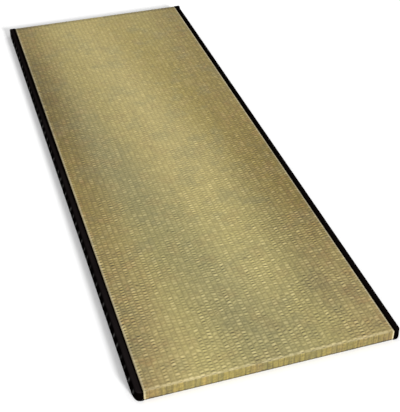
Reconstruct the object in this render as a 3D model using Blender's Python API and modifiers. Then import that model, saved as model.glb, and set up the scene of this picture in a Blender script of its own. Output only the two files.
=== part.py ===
"""Tatami mat: a firm board covered in woven rush, with a black cloth binding on each long side.

The mat lies flat on the surface z = 0. Its length runs along Y, its width along X, and the
origin is under its middle. Three pieces make it: the rush-covered board, whose ribs run along
the length and turn down over both short ends, and two binding strips. Each strip covers the
long side, a narrow band of the top and the underside, and the corner of both short ends.
"""

import math

import bmesh
import bpy
from mathutils import Vector

# Overall sizes, in metres
MAT_LENGTH = 2.000
MAT_WIDTH = 0.700
MAT_THICKNESS = 0.032

# The binding: the band that shows on top, the folded cloth, and the air between two pieces
BINDING_BAND = 0.0185
BINDING_CLOTH = 0.0013
PIECE_GAP = 0.0003

# Roundings of the binding's outer edges, at the top and corners and along the floor
TOP_ROUND = 0.0040
FOOT_ROUND = 0.0015
ARC_STEPS = 4
FOOT_STEPS = 2

# Each long side swells towards its foot. Over the last stretch to a front corner it is drawn in again,
# and over the last stretch to a back corner it comes to stand out alike at every height
SIDE_SWELL = 0.0050
SWELL_LEVEL = 0.2
SWELL_FOOT_SHARE = 0.9
CORNER_DRAW = 0.035
BACK_CORNER_SHARE = 0.85
DRAW_STEPS = 4
SIDE_STEPS = 5

# The front corners are rounded as seen from above, over this much of both sides
FRONT_CORNER_ROUND = 0.013
CORNER_STEPS = 3
CORNER_STEP = 0.003

# The rush cover's ribs, one after the other across the width
RIB_COUNT = 46
RIB_RISE = 0.0008
RIB_SECTION = ((0.0, 0.0), (0.2, 0.8), (0.5, 1.0), (0.8, 0.8))  # (share of the pitch, share of the rise)

# Finish
RUSH_COLOUR = (0.30, 0.24, 0.10)
RUSH_ROUGHNESS = 0.55
CLOTH_COLOUR = (0.012, 0.010, 0.009)
CLOTH_ROUGHNESS = 0.80
SHARP_ANGLE = math.radians(40)

# What follows from them
HALF_WIDTH = MAT_WIDTH / 2
HALF_LENGTH = MAT_LENGTH / 2
COVER_INSET = BINDING_CLOTH + PIECE_GAP
RIB_FIELD = HALF_WIDTH - BINDING_BAND - PIECE_GAP
BOARD_ROUND = TOP_ROUND - COVER_INSET
SWELL_TOP = MAT_THICKNESS - TOP_ROUND
CUTTER_MARGIN = 0.020
SAME_PLACE = 1e-6


def clear_scene():
    for obj in list(bpy.data.objects):
        bpy.data.objects.remove(obj, do_unlink=True)


def new_collection(name):
    collection = bpy.data.collections.new(name)
    bpy.context.scene.collection.children.link(collection)
    return collection


def plain_material(name, colour, roughness):
    material = bpy.data.materials.new(name)
    material.use_nodes = True
    shader = material.node_tree.nodes["Principled BSDF"]
    shader.inputs["Base Color"].default_value = (*colour, 1.0)
    shader.inputs["Roughness"].default_value = roughness
    shader.inputs["Metallic"].default_value = 0.0
    return material


def smooth_step(share):
    share = min(max(share, 0.0), 1.0)
    return share * share * (3.0 - 2.0 * share)


def side_swell(y, z):
    """How far the long side stands out at length y and height z."""
    share = min(z / SWELL_TOP, 1.0)
    if share > SWELL_LEVEL:
        form = 0.5 + 0.5 * math.cos(math.pi * (share - SWELL_LEVEL) / (1.0 - SWELL_LEVEL))
    else:
        dip = (SWELL_LEVEL - share) / SWELL_LEVEL
        form = 1.0 - (1.0 - SWELL_FOOT_SHARE) * dip * dip
    corner_form = BACK_CORNER_SHARE if y > 0.0 else 0.0
    near_corner = smooth_step(1.0 - (HALF_LENGTH - abs(y)) / CORNER_DRAW)
    return SIDE_SWELL * (form + (corner_form - form) * near_corner)


def block(low, high):
    """A box between two corners, as an editable mesh."""
    mesh = bmesh.new()
    bmesh.ops.create_cube(mesh, size=1.0)
    for vert in mesh.verts:
        for axis in range(3):
            share = vert.co[axis] + 0.5
            vert.co[axis] = low[axis] + share * (high[axis] - low[axis])
    return mesh


def round_edges(mesh, wanted, radius, steps):
    """Rounds the edges that pass the test, which is given the two ends of each."""
    edges = [edge for edge in mesh.edges if wanted(edge.verts[0].co, edge.verts[1].co)]
    bmesh.ops.bevel(
        mesh, geom=edges, offset=radius, offset_type="OFFSET",
        segments=steps, profile=0.5, affect="EDGES", clamp_overlap=True,
    )


def cut_planes(mesh, axis, places, wanted=None):
    """Cuts new edges along planes square to one axis, in all faces or in those that pass the test."""
    normal = Vector((0.0, 0.0, 0.0))
    normal[axis] = 1.0
    for place in places:
        faces = [face for face in mesh.faces if wanted is None or wanted(face.calc_center_median())]
        edges = {edge for face in faces for edge in face.edges}
        verts = {vert for face in faces for vert in face.verts}
        bmesh.ops.bisect_plane(
            mesh, geom=[*verts, *edges, *faces], dist=SAME_PLACE, plane_co=normal * place, plane_no=normal,
        )


def draw_stations():
    """Places along the length where the swelling changes, at both ends."""
    steps = [HALF_LENGTH - CORNER_DRAW * step / DRAW_STEPS for step in range(1, DRAW_STEPS + 1)]
    return [-place for place in steps] + steps


def corner_insets():
    """Distances from a front corner, along both sides, where its rounding gets points."""
    return [FRONT_CORNER_ROUND - CORNER_STEP * step for step in range(CORNER_STEPS)]


def cut_front_corners(mesh):
    """Cuts the edges that the rounding of the front corners needs, close to the corners alone."""
    insets = corner_insets()

    def near_corner(middle):
        return middle.y < CORNER_DRAW - HALF_LENGTH and abs(middle.x) > RIB_FIELD

    cut_planes(mesh, 0, [side * (HALF_WIDTH - inset) for side in (-1, 1) for inset in insets], near_corner)
    cut_planes(mesh, 1, [inset - HALF_LENGTH for inset in insets], near_corner)


def corner_reach(angle):
    """From the middle of a front corner's new arc to the outline as it is now, in the given direction."""
    straight = FRONT_CORNER_ROUND / max(math.cos(angle), math.sin(angle))
    core = FRONT_CORNER_ROUND - TOP_ROUND
    if straight * min(math.cos(angle), math.sin(angle)) <= core:
        return straight
    along = core * (math.cos(angle) + math.sin(angle))
    return along + math.sqrt(max(along * along - 2.0 * core * core + TOP_ROUND * TOP_ROUND, 0.0))


def round_front_corners(mesh):
    """Rounds both front corners as seen from above: each point near one moves in by what its outline loses."""
    for vert in mesh.verts:
        across = abs(vert.co.x) - HALF_WIDTH + FRONT_CORNER_ROUND
        ahead = -vert.co.y - HALF_LENGTH + FRONT_CORNER_ROUND
        if across > 0.0 and ahead > 0.0:
            away = math.hypot(across, ahead)
            reach = corner_reach(math.atan2(ahead, across))
            hold = min(away / (reach - TOP_ROUND), 1.0)
            share = 1.0 - (reach - FRONT_CORNER_ROUND) * hold * hold / away
            vert.co.x = math.copysign(HALF_WIDTH - FRONT_CORNER_ROUND + across * share, vert.co.x)
            vert.co.y = FRONT_CORNER_ROUND - HALF_LENGTH - ahead * share


def side_levels():
    """Heights on the long side between the floor and the top rounding."""
    return [SWELL_TOP * step / (SIDE_STEPS + 1) for step in range(1, SIDE_STEPS + 1)]


def swell_sides(mesh):
    """Moves the points of both long sides out by the swelling at their place."""
    for vert in mesh.verts:
        if abs(vert.co.x) > HALF_WIDTH - TOP_ROUND - SAME_PLACE:
            vert.co.x += math.copysign(side_swell(vert.co.y, vert.co.z), vert.co.x)


def finish_object(name, mesh, material, collection):
    data = bpy.data.meshes.new(name)
    bmesh.ops.recalc_face_normals(mesh, faces=mesh.faces)
    mesh.to_mesh(data)
    mesh.free()
    data.materials.append(material)
    data.shade_smooth()
    data.set_sharp_from_angle(angle=SHARP_ANGLE)
    obj = bpy.data.objects.new(name, data)
    collection.objects.link(obj)
    return obj


def rib_columns():
    """Pairs of place across the width and rise, for every edge of every rib."""
    pitch = 2 * RIB_FIELD / RIB_COUNT
    columns = []
    for rib in range(RIB_COUNT):
        for share, rise in RIB_SECTION:
            columns.append((-RIB_FIELD + (rib + share) * pitch, rise * RIB_RISE))
    return columns[1:]


def raise_ribs(mesh, columns):
    """Pushes the cover's points outwards by the rise of their column; the underside stays flat."""
    mesh.normal_update()
    rises = {round(place, 5): rise for place, rise in columns}
    moves = []
    for vert in mesh.verts:
        rise = rises.get(round(vert.co.x, 5), 0.0)
        on_floor = vert.co.z < SAME_PLACE
        outward = Vector((0.0, vert.normal.y, 0.0 if on_floor else vert.normal.z)).normalized()
        moves.append((vert, outward * rise))
    for vert, move in moves:
        vert.co += move


def rebate_cutter(name, side, collection):
    """A box that clears room under the board for the binding's lower band."""
    outer = HALF_WIDTH + CUTTER_MARGIN
    reach = HALF_LENGTH + CUTTER_MARGIN
    low = Vector((min(side * RIB_FIELD, side * outer), -reach, -CUTTER_MARGIN))
    high = Vector((max(side * RIB_FIELD, side * outer), reach, COVER_INSET))
    data = bpy.data.meshes.new(name)
    mesh = block(low, high)
    mesh.to_mesh(data)
    mesh.free()
    cutter = bpy.data.objects.new(name, data)
    cutter.hide_render = True
    cutter.display_type = "WIRE"
    collection.objects.link(cutter)
    return cutter


def make_rush_mat(material, collection, cutters):
    """The board in its rush cover: ribbed on top and down both ends, flat underneath."""
    half = Vector((HALF_WIDTH - COVER_INSET, HALF_LENGTH - COVER_INSET, 0.0))
    top = MAT_THICKNESS - COVER_INSET
    mesh = block(Vector((-half.x, -half.y, 0.0)), Vector((half.x, half.y, top)))
    round_edges(mesh, lambda a, b: max(a.z, b.z) > SAME_PLACE, BOARD_ROUND, ARC_STEPS)
    cut_planes(mesh, 0, [-RIB_FIELD, RIB_FIELD])
    cut_planes(mesh, 1, draw_stations(), lambda middle: abs(middle.x) > RIB_FIELD)
    cut_planes(mesh, 2, side_levels(), lambda middle: abs(middle.x) > RIB_FIELD)
    cut_front_corners(mesh)
    swell_sides(mesh)
    round_front_corners(mesh)
    columns = rib_columns()
    cut_planes(
        mesh, 0, [place for place, _ in columns],
        lambda middle: abs(middle.x) < RIB_FIELD and middle.z > SAME_PLACE,
    )
    raise_ribs(mesh, columns)
    mat = finish_object("rush_mat", mesh, material, collection)
    for side, word in ((-1, "left"), (1, "right")):
        rebate = mat.modifiers.new("rebate_" + word, "BOOLEAN")
        rebate.operation = "DIFFERENCE"
        rebate.solver = "EXACT"
        rebate.object = rebate_cutter("rebate_cutter_" + word, side, cutters)
    return mat


def make_binding(name, side, material, collection):
    """A cloth strip folded over one long side and both of its corners, open towards the board."""
    inner = HALF_WIDTH - BINDING_BAND
    low = Vector((min(side * inner, side * HALF_WIDTH), -HALF_LENGTH, 0.0))
    high = Vector((max(side * inner, side * HALF_WIDTH), HALF_LENGTH, MAT_THICKNESS))
    mesh = block(low, high)

    def beside_board(*points):
        return all(abs(point.x) < inner + SAME_PLACE for point in points)

    def on_floor(*points):
        return all(point.z < SAME_PLACE for point in points)

    round_edges(mesh, lambda a, b: not on_floor(a, b) and not beside_board(a, b), TOP_ROUND, ARC_STEPS)
    round_edges(mesh, lambda a, b: on_floor(a, b) and not beside_board(a, b), FOOT_ROUND, FOOT_STEPS)
    cut_planes(mesh, 1, draw_stations())
    cut_planes(mesh, 2, side_levels())
    cut_front_corners(mesh)
    open_faces = [face for face in mesh.faces if beside_board(face.calc_center_median())]
    bmesh.ops.delete(mesh, geom=open_faces, context="FACES")
    swell_sides(mesh)
    round_front_corners(mesh)
    binding = finish_object(name, mesh, material, collection)
    wall = binding.modifiers.new("cloth", "SOLIDIFY")
    wall.thickness = BINDING_CLOTH
    wall.offset = -1.0
    wall.use_even_offset = True
    wall.use_quality_normals = True
    return binding


def main():
    clear_scene()
    parts = new_collection("tatami_mat")
    cutters = new_collection("cutters")
    rush = plain_material("woven_rush", RUSH_COLOUR, RUSH_ROUGHNESS)
    cloth = plain_material("binding_cloth", CLOTH_COLOUR, CLOTH_ROUGHNESS)
    make_rush_mat(rush, parts, cutters)
    make_binding("binding_left", -1, cloth, parts)
    make_binding("binding_right", 1, cloth, parts)


main()
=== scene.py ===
"""Tatami mat: a firm board in woven rush, with a black cloth binding folded over each long side.

The mat lies flat on the floor z = 0, its length along Y and its width along X. The rush cover is one
closed surface with its ribs and strokes in relief, each binding is a folded cloth with the puckers of
its sewing, and the stitches are short black threads low on each long side.
"""

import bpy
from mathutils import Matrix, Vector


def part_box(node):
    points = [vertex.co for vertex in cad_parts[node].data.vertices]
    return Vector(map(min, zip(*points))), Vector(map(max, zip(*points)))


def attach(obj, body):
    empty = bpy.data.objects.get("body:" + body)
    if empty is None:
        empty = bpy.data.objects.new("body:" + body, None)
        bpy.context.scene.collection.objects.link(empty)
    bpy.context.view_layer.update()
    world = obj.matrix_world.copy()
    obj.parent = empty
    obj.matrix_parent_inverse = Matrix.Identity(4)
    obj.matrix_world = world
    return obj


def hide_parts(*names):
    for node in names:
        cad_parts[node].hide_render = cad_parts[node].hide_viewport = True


bl_info = {
    "name": "Tatami Mat",
    "version": (1, 0, 0),
    "blender": (4, 5, 0),
    "location": "3D View > Sidebar > Tatami Mat",
    "description": "Makes a tatami mat's woven rush cover, cloth bindings and stitches",
    "category": "Object",
}

import math
from types import SimpleNamespace

import bpy
import numpy as np
from bpy.props import FloatProperty, FloatVectorProperty, IntProperty, PointerProperty
from mathutils import Matrix, Vector

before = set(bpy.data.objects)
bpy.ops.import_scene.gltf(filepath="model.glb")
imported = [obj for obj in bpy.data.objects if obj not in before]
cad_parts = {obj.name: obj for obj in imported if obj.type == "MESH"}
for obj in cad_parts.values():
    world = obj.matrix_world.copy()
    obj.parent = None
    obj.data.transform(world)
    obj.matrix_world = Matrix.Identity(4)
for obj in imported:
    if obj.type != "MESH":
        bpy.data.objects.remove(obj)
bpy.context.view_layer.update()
BINDING_LOW, BINDING_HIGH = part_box("binding_right")

# The mat's own sizes, in metres
SIDE_SWELL = 0.0050
SWELL_LEVEL = 0.2
SWELL_FOOT_SHARE = 0.9
CORNER_DRAW = 0.035
BACK_CORNER_SHARE = 0.85
FRONT_CORNER_ROUND = 0.013
TOP_ROUND = 0.0040
FOOT_ROUND = 0.0015
BINDING_CLOTH = 0.0013
PIECE_GAP = 0.0003

# What follows from them and from the frame
THICKNESS = BINDING_HIGH[2]
HALF_LENGTH = BINDING_HIGH[1]
HALF_WIDTH = round(BINDING_HIGH[0] - SIDE_SWELL, 3)
BAND_EDGE = BINDING_LOW[0]
RIB_FIELD = BAND_EDGE - PIECE_GAP
COVER_INSET = BINDING_CLOTH + PIECE_GAP
COVER_TOP = THICKNESS - COVER_INSET
COVER_END = HALF_LENGTH - COVER_INSET
COVER_ROUND = TOP_ROUND - COVER_INSET
SWELL_TOP = THICKNESS - TOP_ROUND
SIDE_CORE = HALF_WIDTH - TOP_ROUND
END_CORE = HALF_LENGTH - TOP_ROUND

# Hidden sides of the cover stand this much further back, for the puckers of the binding
PUCKER_ROOM = 0.0008
COVER_SIDE = HALF_WIDTH - COVER_INSET - PUCKER_ROOM
COVER_CORE = np.array([COVER_SIDE, COVER_END, COVER_TOP]) - COVER_ROUND

# Columns of points on each rib, as shares of its pitch
RIB_SHARES = (0.0, 0.2, 0.5, 0.8)
HEM_COLUMN = 0.0070
END_LEVELS = 6
UNDERSIDE_STEPS = 14
FOOT_EASE = 0.0007

# Rows of points on the binding round each stitch, as shares of the stitch pitch, and its other stations
STITCH_SHARES = (-0.5, -0.34, -0.22, -0.14, -0.07, 0.0, 0.07, 0.14, 0.22, 0.34)
CORNER_ROWS = (0.0062, 0.0084, 0.0106, 0.0130)
BAND_STEPS = (0.0, 0.0006, 0.0016, 0.0030, 0.0050, 0.0080, 0.0110)
SIDE_LEVELS = (0.0040, 0.0064, 0.0084, 0.0102, 0.0120, 0.0138, 0.0156, 0.0174, 0.0194, 0.0216, 0.0244)
ARC_ANGLES = (15.0, 30.0, 45.0)

# Puckers of the sewing, waves of the cloth, its dip beside the rush and its fold at both ends
DIMPLE_LENGTH = 0.0042
DIMPLE_HEIGHT = 0.0036
# The short fold that leans over each stitch, which also carries a painted highlight
PUCKER_FOLD_LIFT = 0.0060
PUCKER_FOLD_HEIGHT = 0.0070
PUCKER_FOLD_WIDTH = 0.0034
PUCKER_FOLD_LEAN = math.radians(20)
CLOTH_WAVE = 0.00012
EDGE_DIP = 0.0003
END_FOLD = 0.0005
CLOTH_THREAD = 0.0006
THREAD_STEPS = 9
THREAD_SIDES = 8

# Camera, fitted to the mat's corners in a picture of 400 x 412
PICTURE_HEIGHT = 412
FOCAL_PIXELS = 934.2
SENSOR = 36.0
CAMERA_PLACE = (-0.6525, -2.4716, 1.7325)
CAMERA_AZIMUTH = math.radians(72.50)
CAMERA_DIP = math.radians(37.342)
CAMERA_ROLL = math.radians(-0.204)

# Studio
FLOOR_SIZE = 9.0
FLOOR_LEVEL = -0.0002
KEY_FROM = (0.268, -0.912, 0.312)


def count_property(name, text, default, low, high):
    """A whole number that the user may change."""
    return IntProperty(name=name, description=text, default=default, min=low, max=high)


def share_property(name, text, default, low):
    """A share up to 1."""
    return FloatProperty(name=name, description=text, default=default, min=low, max=1.0)


def length_property(name, text, default, low, high):
    """A length in metres, shown to a hundredth of a millimetre."""
    return FloatProperty(name=name, description=text, default=default, min=low, max=high,
                         unit="LENGTH", precision=5)


def colour_property(name, text, *default):
    """A colour, as linear red, green and blue."""
    return FloatVectorProperty(name=name, description=text, default=default, min=0.0, max=1.0,
                               subtype="COLOR")


class TatamiSizes(bpy.types.PropertyGroup):
    """Sizes of the weave, the bindings and the sewing."""

    rib_count: count_property("Ribs", "Ribs of the weave across the width", 46, 8, 120)
    rib_rise: length_property(
        "Rib rise", "Height of a rib over the valleys beside it", 0.0003, 0.0, 0.002)
    stroke_count: count_property(
        "Strokes", "Bundles of stems along the length of one rib", 188, 20, 400)
    stroke_rise: length_property(
        "Stroke rise", "Half the height of a bundle of stems over the gap beside it", 0.0003, 0.0, 0.001)
    stroke_slant: share_property(
        "Stroke slant", "How far a bundle runs askew over its rib, as a share of its pitch", 0.12, -1.0)
    weak_share: share_property(
        "Weak ribs", "Height of the strokes on every second rib, as a share of the others'", 0.25, 0.0)
    row_jitter: length_property(
        "Row jitter", "How far single strokes stray from their row", 0.0018, 0.0, 0.005)
    stems: count_property("Stems", "Single rush stems in each bundle", 4, 1, 8)
    row_wave: length_property(
        "Row wave", "How far a row of stems wanders along the mat", 0.0034, 0.0, 0.01)
    unevenness: length_property(
        "Unevenness", "Slow rise and fall of the cover over the board", 0.00025, 0.0, 0.001)
    fold_roll: length_property(
        "Fold roll", "How far the stems bulge where the cover folds over an end", 0.0004, 0.0, 0.001)
    pressed_edge: length_property(
        "Pressed edge", "Width of the rush that the binding presses flat beside it", 0.0060, 0.001, 0.02)
    stitch_count: count_property("Stitches", "Stitches on each long side", 50, 10, 120)
    stitch_level: length_property(
        "Stitch level", "Height of the stitches over the floor", 0.0120, 0.004, 0.02)
    stitch_length: length_property(
        "Stitch length", "Length of thread that shows in one stitch", 0.0075, 0.002, 0.02)
    thread: length_property("Thread", "Thickness of the sewing thread", 0.0010, 0.0003, 0.002)
    pucker: length_property("Pucker", "How deep a stitch draws the cloth in", 0.0008, 0.0, 0.002)


class TatamiColours(bpy.types.PropertyGroup):
    """Colours of the rush, the cloth and the studio."""

    straw: colour_property("Straw", "Dried rush, most of the cover", 0.322, 0.261, 0.0875)
    green: colour_property("Green", "Rush that dried green", 0.220, 0.199, 0.0885)
    fresh: colour_property("Fresh", "Yellow-green rush in the front half", 0.293, 0.262, 0.0835)
    brown: colour_property("Brown", "Rush that dried brown", 0.232, 0.171, 0.027)
    # Edge: darker than the straw down the ends as painted shade, and yellower as the rush's own hue
    edge: colour_property("Edge", "Rush where it runs down the ends", 0.128, 0.106, 0.027)
    # Pale: painted highlight along the fold over the front end, on glinting strokes and in the bright band;
    # also the pale line beside the bindings and a share of the front
    pale: colour_property("Pale", "Rush worn pale at folds and edges", 0.50, 0.43, 0.255)
    ochre: colour_property("Ochre", "Rush that dried reddish in wide patches", 0.300, 0.220, 0.085)
    spot: colour_property("Spots", "Reddish spots on single stems", 0.30, 0.165, 0.060)
    cloth: colour_property("Cloth", "Black cotton of the bindings", 0.0014, 0.0009, 0.0008)
    # Painted sheen on the tops of the bindings
    sheen: colour_property("Sheened cloth", "Black cotton where it has faded", 0.0112, 0.0087, 0.0089)
    highlit: colour_property("Highlit cloth", "Black cotton rubbed grey on its folds", 0.110, 0.107, 0.105)
    # Painted highlight: grey on the folds of the puckers
    thread: colour_property("Thread", "Black sewing thread", 0.045, 0.042, 0.042)
    floor: colour_property("Floor", "Pale studio floor", 0.95, 0.95, 0.95)


def smooth_step(share):
    """Rises from 0 to 1 as 3 s^2 - 2 s^3, with the share s held between 0 and 1."""
    share = np.clip(share, 0.0, 1.0)
    return share * share * (3.0 - 2.0 * share)


def bell(distance, width):
    """Falls off from 1 as e to the power of minus (distance / width) squared."""
    return np.exp(-np.square(distance / width))


def soft_waves(x, y, length, turn):
    """Slow waves between about -1 and 1: the mean of four sines that run in four directions.

    Each sine's wavelength is the given length times 1, 0.73, 0.53 and 0.39, and each runs 74 degrees
    further round than the one before it, from the given turn on.
    """
    total = np.zeros(np.broadcast(x, y).shape)
    for step in range(4):
        angle = turn + step * math.radians(74)
        way = x * math.cos(angle) + y * math.sin(angle)
        total += np.sin(2 * math.pi * way / (length * 0.73 ** step) + turn * (step + 2))
    return total / 4


def side_swell(y, z):
    """How far a long side stands out: the swelling times its form up the side.

    From the floor to the swell level the form rises as a parabola to 1; from there to the top rounding it
    falls as half a cosine wave. Over the last stretch to a corner it turns, as a smooth step, into 0 at the
    front and into one share for every height at the back.
    """
    share = np.minimum(z / SWELL_TOP, 1.0)
    upper = 0.5 + 0.5 * np.cos(math.pi * np.clip((share - SWELL_LEVEL) / (1.0 - SWELL_LEVEL), 0.0, 1.0))
    dip = np.clip((SWELL_LEVEL - share) / SWELL_LEVEL, 0.0, 1.0)
    lower = 1.0 - (1.0 - SWELL_FOOT_SHARE) * dip * dip
    form = np.where(share > SWELL_LEVEL, upper, lower)
    corner_form = np.where(y > 0.0, BACK_CORNER_SHARE, 0.0)
    near_corner = smooth_step(1.0 - (HALF_LENGTH - np.abs(y)) / CORNER_DRAW)
    return SIDE_SWELL * (form + (corner_form - form) * near_corner)


def corner_reach(across, ahead):
    """From the middle of a front corner's new arc to the mat's outline without it, in the given direction.

    The outline is a square whose corner is an arc of the top rounding's radius. A ray meets the straight
    part where its larger share equals the square's half, and the arc at the root of a quadratic equation.
    """
    away = np.hypot(across, ahead)
    cosine, sine = across / away, ahead / away
    straight = FRONT_CORNER_ROUND / np.maximum(cosine, sine)
    core = FRONT_CORNER_ROUND - TOP_ROUND
    along = core * (cosine + sine)
    arc = along + np.sqrt(np.maximum(along * along - 2.0 * core * core + TOP_ROUND * TOP_ROUND, 0.0))
    return np.where(straight * np.minimum(cosine, sine) <= core, straight, arc)


def round_front_corners(points):
    """Rounds both front corners as seen from above, in place.

    Each point near a corner moves towards the middle of the new arc by as much as the outline loses in its
    direction. Further in than the top rounding it moves less, by the square of its share of the way there.
    """
    across = np.abs(points[:, 0]) - HALF_WIDTH + FRONT_CORNER_ROUND
    ahead = -points[:, 1] - HALF_LENGTH + FRONT_CORNER_ROUND
    near = (across > 0.0) & (ahead > 0.0)
    across, ahead = across[near], ahead[near]
    away = np.hypot(across, ahead)
    reach = corner_reach(across, ahead)
    hold = np.minimum(away / (reach - TOP_ROUND), 1.0)
    share = 1.0 - (reach - FRONT_CORNER_ROUND) * hold * hold / away
    points[near, 0] = np.sign(points[near, 0]) * (HALF_WIDTH - FRONT_CORNER_ROUND + across * share)
    points[near, 1] = FRONT_CORNER_ROUND - HALF_LENGTH - ahead * share


def rounded_box(points, core_low, core_high, radius_low, radius_high):
    """Rounds the edges of a box whose points are given, and gives each point's outward direction too.

    Each point is held inside the core box, and stands off it by the radius in the direction in which it
    left the core, so that flat sides stay and edges and corners become arcs.
    """
    core = np.clip(points, core_low, core_high)
    away = points - core
    radius = np.where(away < 0.0, radius_low, radius_high)
    share = away / radius
    reach = np.linalg.norm(share, axis=1, keepdims=True)
    offset = share / np.where(reach > 0.0, reach, 1.0) * radius
    length = np.linalg.norm(offset, axis=1, keepdims=True)
    return core + offset, offset / np.where(length > 0.0, length, 1.0)


def arc_stations(core, radius, angles):
    """Places beyond the core that the rounding turns into even steps of an arc: core + radius x tangent."""
    return [core + radius * math.tan(math.radians(angle)) for angle in angles]


def box_side(counts, axis, high):
    """One side of a box lattice: an array of quads, each of four lattice points, wound to face outwards.

    The two other axes are taken in turn after this one, which makes the winding point up along it; on the
    low side the winding is turned round.
    """
    first = (axis + 1) % 3
    second = (axis + 2) % 3
    a, b = np.meshgrid(np.arange(counts[first] - 1), np.arange(counts[second] - 1), indexing="ij")
    corners = ((0, 0), (1, 0), (1, 1), (0, 1)) if high else ((0, 0), (0, 1), (1, 1), (1, 0))
    quads = np.zeros((a.size, 4, 3), dtype=np.int64)
    quads[:, :, axis] = counts[axis] - 1 if high else 0
    for corner, (step_a, step_b) in enumerate(corners):
        quads[:, corner, first] = a.ravel() + step_a
        quads[:, corner, second] = b.ravel() + step_b
    return quads


def sharp_places(stations, steps):
    """The box coordinates of lattice points that are given by their steps."""
    return np.stack([stations[axis][steps[..., axis]] for axis in range(3)], axis=-1)


def lattice(stations, sides):
    """Some sides of a box lattice, welded: each is named by its axis and by being the high one or not.

    Every lattice point has one number, with its x step, y step and z step as digits, and points that sides
    share become one. The lattice holds the numbers in use with their steps and box coordinates, the faces
    on them, and for each side the box coordinates of its faces' corners.
    """
    counts = tuple(len(row) for row in stations)
    quads = [box_side(counts, axis, high) for axis, high in sides]
    steps = np.concatenate(quads)
    numbers = (steps[..., 0] * counts[1] + steps[..., 1]) * counts[2] + steps[..., 2]
    used, faces = np.unique(numbers, return_inverse=True)
    rows = used // counts[2]
    steps = np.stack([rows // counts[1], rows % counts[1], used % counts[2]], axis=1)
    return SimpleNamespace(
        counts=counts, used=used, steps=steps, faces=faces.reshape(numbers.shape),
        sharp=sharp_places(stations, steps), corners=[sharp_places(stations, block) for block in quads],
    )


def zip_rows(long_row, short_row):
    """Triangles between two rows of points of unlike counts that meet at both ends.

    Each point of the long row has the point of the short row at the same share of the way as its partner.
    A pair of neighbours makes a triangle with the first one's partner, and where the partner changes, one
    more triangle joins both partners. Triangles that name a point twice are left out.
    """
    partner = np.rint(np.linspace(0, len(short_row) - 1, len(long_row))).astype(np.int64)
    fans = np.stack([long_row[:-1], long_row[1:], short_row[partner[:-1]]], axis=1)
    change = np.nonzero(np.diff(partner))[0]
    after, before = short_row[partner[change + 1]], short_row[partner[change]]
    steps = np.stack([long_row[change + 1], after, before], axis=1)
    faces = np.concatenate([fans, steps])
    whole = (faces[:, 0] != faces[:, 1]) & (faces[:, 1] != faces[:, 2]) & (faces[:, 0] != faces[:, 2])
    return faces[whole]


def new_piece(name, points, face_blocks, corner_blocks, material):
    """Puts points, faces and each corner's unfolded place, in metres, into a new object at the origin."""
    corners = np.concatenate([block.ravel() for block in face_blocks])
    sides = np.concatenate([np.full(len(block), block.shape[1]) for block in face_blocks])
    starts = np.concatenate([[0], np.cumsum(sides)[:-1]])
    mesh = bpy.data.meshes.new(name)
    mesh.vertices.add(len(points))
    mesh.vertices.foreach_set("co", points.astype(np.float32).ravel())
    mesh.loops.add(len(corners))
    mesh.loops.foreach_set("vertex_index", corners.astype(np.int32))
    mesh.polygons.add(len(sides))
    mesh.polygons.foreach_set("loop_start", starts.astype(np.int32))
    mesh.update(calc_edges=True)
    layer = mesh.uv_layers.new(name="unfolded")
    unfolded = np.concatenate([block.reshape(-1, 2) for block in corner_blocks])
    layer.uv.foreach_set("vector", unfolded.astype(np.float32).ravel())
    if mesh.validate():
        raise RuntimeError(name + " has faces that aren't valid")
    mesh.materials.append(material)
    mesh.shade_smooth()
    piece = bpy.data.objects.new(name, mesh)
    bpy.context.scene.collection.objects.link(piece)
    return piece


def rib_pitch(sizes):
    """From one rib to the next."""
    return 2 * RIB_FIELD / sizes.rib_count


def stroke_pitch(sizes):
    """From one stroke of rush to the next along a rib."""
    return 2 * (COVER_END - COVER_ROUND) / sizes.stroke_count


def stitch_pitch(sizes):
    """From one stitch to the next."""
    return 2 * END_CORE / sizes.stitch_count


def flat(across, along):
    """Two arrays as unfolded places."""
    return np.stack([across, along], axis=-1)


def cover_stations(sizes):
    """Places of the cover's lattice across, along and up, as sharp box coordinates."""
    side_core, end_core, top_core = COVER_CORE
    side, end, top = (arc_stations(core, COVER_ROUND, (22.5, 45.0)) for core in COVER_CORE)
    ribs = [(rib + share) * rib_pitch(sizes) for rib in range(sizes.rib_count) for share in RIB_SHARES]
    ribs = [place - RIB_FIELD for place in ribs] + [RIB_FIELD]
    hem = [BAND_EDGE, BAND_EDGE + HEM_COLUMN, side_core] + side
    across = [-place for place in reversed(hem)] + ribs + hem
    rows = list(np.linspace(-end_core, end_core, 2 * sizes.stroke_count + 1))
    along = [-place for place in reversed(end)] + rows + end
    up = list(np.linspace(0.0, top_core, END_LEVELS + 1)) + top
    return np.array(across), np.array(along), np.array(up)


def cover_rise(sharp, sizes):
    """How far the cover stands out over its valleys: ribs, strokes and the roll at each fold.

    Across a rib the profile is 1 - |2 s - 1|^3 of its share s. Along it the strokes are a cosine wave, a
    little askew and weaker on every second rib, whose height comes and goes in patches. Near the bindings
    all is pressed flat, and the folds over the ends roll out by a bell curve.
    """
    x, y, z = sharp.T
    across = (x + RIB_FIELD) / rib_pitch(sizes)
    rib = np.floor(across + 1e-6)
    inside = np.abs(x) < RIB_FIELD - 1e-6
    profile = np.where(inside, 1.0 - np.abs(2.0 * (across - rib) - 1.0) ** 3, 0.0)
    profile = profile * smooth_step((RIB_FIELD - np.abs(x)) / sizes.pressed_edge)
    along = y / stroke_pitch(sizes) - sizes.stroke_slant * (across - rib - 0.5)
    on_top = z > COVER_TOP - 1e-6
    strength = (0.75 + 0.5 * soft_waves(x, y, 0.31, 0.7)) * np.where(rib % 2 > 0.5, sizes.weak_share, 1.0)
    strokes = np.where(on_top, -np.cos(2 * math.pi * along), 0.0) * strength
    fold = bell(np.abs(y) - COVER_END, COVER_ROUND) * bell(z - COVER_TOP, COVER_ROUND)
    return profile * (sizes.rib_rise + sizes.stroke_rise * strokes + sizes.fold_roll * fold)


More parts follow.
